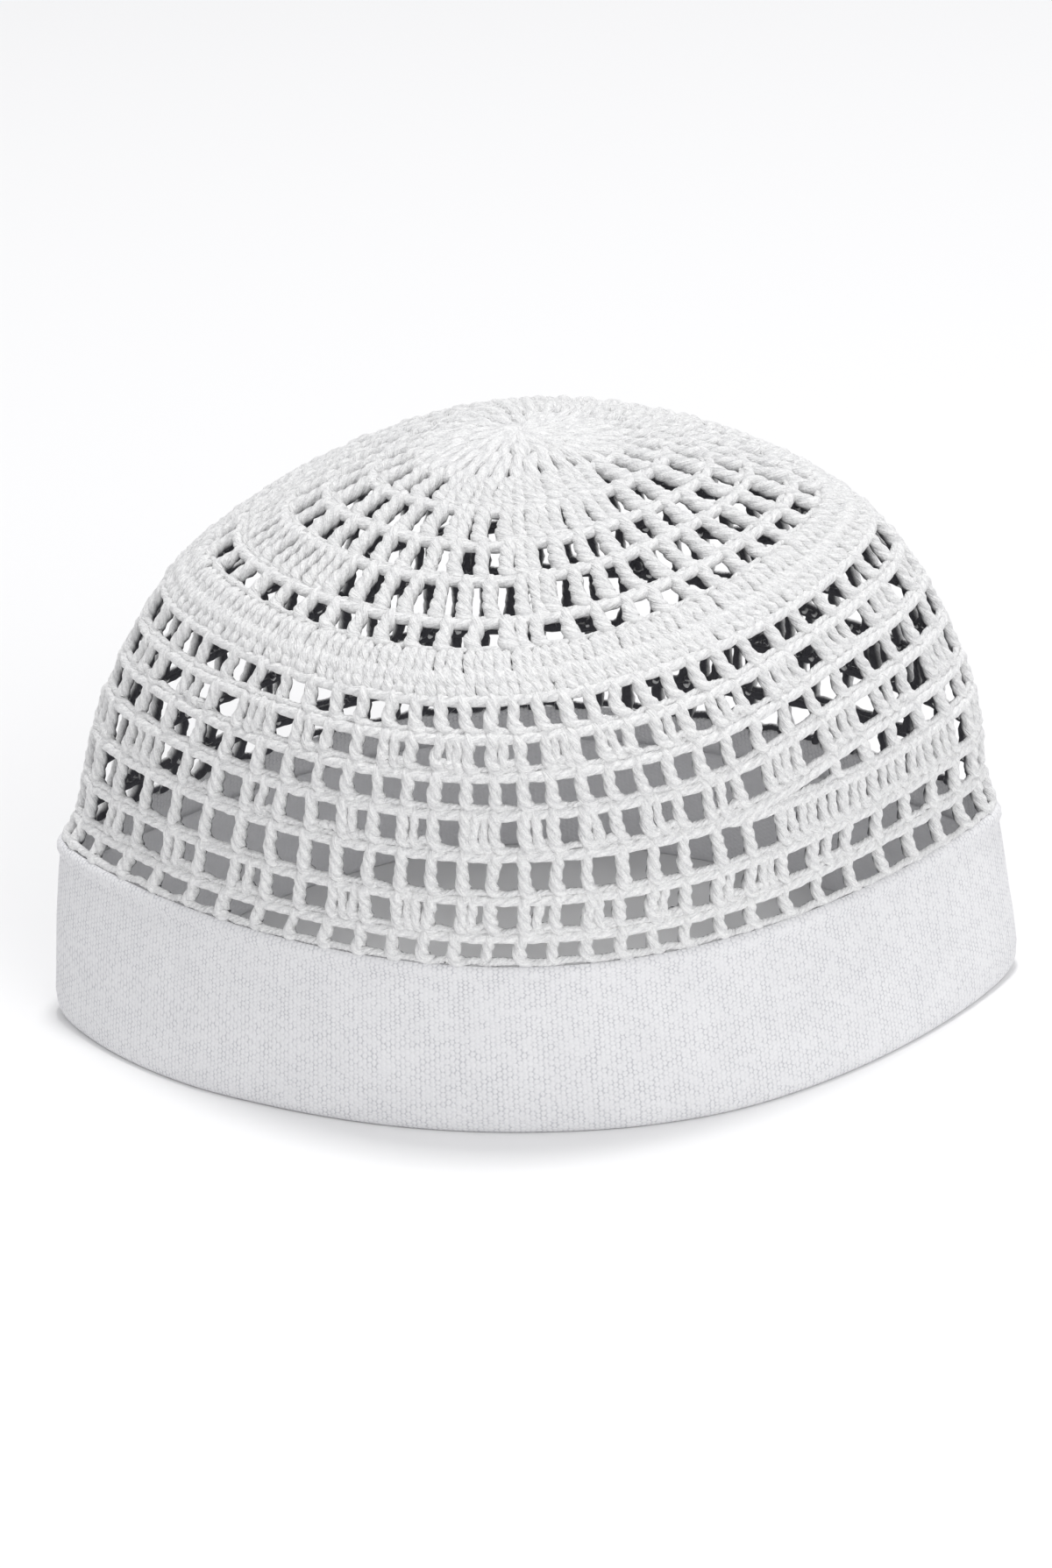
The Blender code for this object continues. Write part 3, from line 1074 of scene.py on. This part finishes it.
class CAP_OT_band(bpy.types.Operator):
    """Make the folded cloth band"""

    bl_idname = "cap.band"
    bl_label = "Cloth band"

    def execute(self, context):
        cloth = context.scene.cap_cloth
        count = BAND_POINTS
        rings = [band_ring(inset * MM, height * MM, top, count) for inset, height, top, _ in BAND_PROFILE]
        vertices = np.array([ring for ring, _ in rings])
        rim = rings[0][1]
        steps = np.linalg.norm(np.roll(vertices, -1, axis=0)[:, 0] - vertices[:, 0], axis=1)
        climbed = np.concatenate([[0], np.cumsum(steps)])
        ring, spot = np.meshgrid(np.arange(len(rings)), np.arange(count), indexing="ij")
        above = (ring + 1) % len(rings)
        beside = (spot + 1) % count
        quads = np.stack(
            [ring * count + spot, ring * count + beside, above * count + beside, above * count + spot],
            axis=-1,
        )
        u = np.stack([spot, spot + 1, spot + 1, spot], axis=-1) / count * rim
        v = np.stack([climbed[ring], climbed[ring], climbed[ring + 1], climbed[ring + 1]], axis=-1)
        part = {
            "vertices": vertices.reshape(-1, 3),
            "quads": quads.reshape(-1, 4),
            "caps": np.zeros((0, 4), int),
            "uv": np.stack([u, v], axis=-1).reshape(-1, 2),
            "groove_shade": np.zeros(vertices.shape[0] * count),
            "inner": np.repeat([row[3] for row in BAND_PROFILE], count),
        }
        band = new_piece("cloth_band", [part], cloth_material(cloth), "strip")
        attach(band, "root")
        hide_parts("fabric_band")
        return {"FINISHED"}


class CAP_OT_stage(bpy.types.Operator):
    """Make the floor, lights and camera"""

    bl_idname = "cap.stage"
    bl_label = "Stage"

    def execute(self, context):
        stage = context.scene.cap_stage
        scene = context.scene
        scene.view_settings.view_transform = "Standard"
        mesh = bpy.data.meshes.new("floor")
        reach = 6.0
        corners = [(-reach, -reach, 0), (reach, -reach, 0), (reach, reach, 0), (-reach, reach, 0)]
        mesh.from_pydata(corners, [], [(0, 1, 2, 3)])
        floor = bpy.data.objects.new("floor", mesh)
        scene.collection.objects.link(floor)
        mesh.materials.append(floor_material(stage))
        world = bpy.data.worlds.new("pale studio")
        world.use_nodes = True
        background = world.node_tree.nodes["Background"]
        background.inputs["Color"].default_value = linear("#FDFDFF")
        background.inputs["Strength"].default_value = 0.68
        scene.world = world
        area_light("overhead softbox", (0.14, 0.36, 2.6), (0.0, 0.0, 0.05), 0.45, 26.5)
        area_light("front softbox", (0.8, -1.5, 0.9), (0.0, 0.0, 0.05), 1.2, 10.4)
        # Stands for the light that thin cotton lets through
        inside = area_light("inside softbox", (0.0, -0.02, 0.088), (0.0, -0.01, 0.0), 0.05, 0.015)
        inside.visible_camera = False
        scene.camera = camera(stage)
        return {"FINISHED"}


def floor_material(stage):
    """White seamless paper: plain and matt."""
    material, tree = new_material("white paper, seamless")
    here = add_node(tree, "ShaderNodeTexCoord").outputs["Object"]
    grain = noise(tree, here, 1 / (30 * MM), 2.0)
    tone = blended(tree, math_node(tree, "MULTIPLY", grain, 0.02), tuple(stage.floor), linear("#EDEDEF"))
    shader = add_node(
        tree, "ShaderNodeBsdfPrincipled", {"Base Color": tone, "Roughness": 0.95, "Specular IOR Level": 0.1}
    )
    output = add_node(tree, "ShaderNodeOutputMaterial", {"Surface": shader.outputs["BSDF"]})
    output.is_active_output = True
    return material


def area_light(name, place, aim, size, power):
    """A square softbox that faces a point."""
    data = bpy.data.lights.new(name, "AREA")
    data.size = size
    data.energy = power
    light = bpy.data.objects.new(name, data)
    back = unit(np.array(place) - np.array(aim))
    right = unit(np.cross((0, 0, 1), back) + (1e-6, 0, 0))
    axes = np.column_stack([right, np.cross(back, right), back])
    light.matrix_world = Matrix.Translation(place) @ Matrix(axes.tolist()).to_4x4()
    bpy.context.scene.collection.objects.link(light)
    return light


def camera(stage):
    """The camera, aimed at the middle of the cap and framed as the 1200 by 1789 picture."""
    picture = (1200, 1789)
    aim_spot = (597.9, 826.8)
    data = bpy.data.cameras.new("camera")
    data.sensor_fit = "HORIZONTAL"
    data.sensor_width = 36.0
    data.lens = stage.lens
    data.shift_x = (picture[0] / 2 - aim_spot[0]) / picture[0]
    data.shift_y = (aim_spot[1] - picture[1] / 2) / picture[0]
    lifted = stage.elevation
    right = np.array((1.0, 0.0, 0.0))
    up = np.array((0.0, math.sin(lifted), math.cos(lifted)))
    back = np.array((0.0, -math.cos(lifted), math.sin(lifted)))
    turned_right = math.cos(stage.roll) * right - math.sin(stage.roll) * up
    turned_up = math.sin(stage.roll) * right + math.cos(stage.roll) * up
    place = np.array((0, 0, stage.aim_height)) + stage.distance * back
    made = bpy.data.objects.new("camera", data)
    axes = np.column_stack([turned_right, turned_up, back])
    made.matrix_world = Matrix.Translation(place.tolist()) @ Matrix(axes.tolist()).to_4x4()
    bpy.context.scene.collection.objects.link(made)
    return made


OPERATORS = (
    CAP_OT_stage,
    CAP_OT_band,
    CAP_OT_lower_posts,
    CAP_OT_lower_fillers,
    CAP_OT_lower_ropes,
    CAP_OT_lower_chains,
    CAP_OT_dense_ring,
    CAP_OT_top_net,
    CAP_OT_centre,
)


class CAP_PT_panel(bpy.types.Panel):
    """The cap's operators, in the order they are run"""

    bl_label = "Crochet skull cap"
    bl_idname = "CAP_PT_panel"
    bl_space_type = "VIEW_3D"
    bl_region_type = "UI"
    bl_category = "Cap"

    def draw(self, context):
        for operator in OPERATORS:
            self.layout.operator(operator.bl_idname)


SETTINGS = {"cap_yarn": CapYarnSettings, "cap_cloth": CapClothSettings, "cap_stage": CapStageSettings}


def register():
    """Register the settings, operators and panel."""
    for made in (*SETTINGS.values(), *OPERATORS, CAP_PT_panel):
        bpy.utils.register_class(made)
    for name, group in SETTINGS.items():
        setattr(bpy.types.Scene, name, bpy.props.PointerProperty(type=group))


def unregister():
    """Take the settings, operators and panel away again."""
    for name in SETTINGS:
        delattr(bpy.types.Scene, name)
    for made in (CAP_PT_panel, *reversed(OPERATORS), *reversed(SETTINGS.values())):
        bpy.utils.unregister_class(made)


def main():
    """Build every piece and the stage."""
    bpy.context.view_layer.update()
    register()
    for operator in OPERATORS:
        group, name = operator.bl_idname.split(".")
        getattr(getattr(bpy.ops, group), name)()


if __name__ == "__main__":
    main()
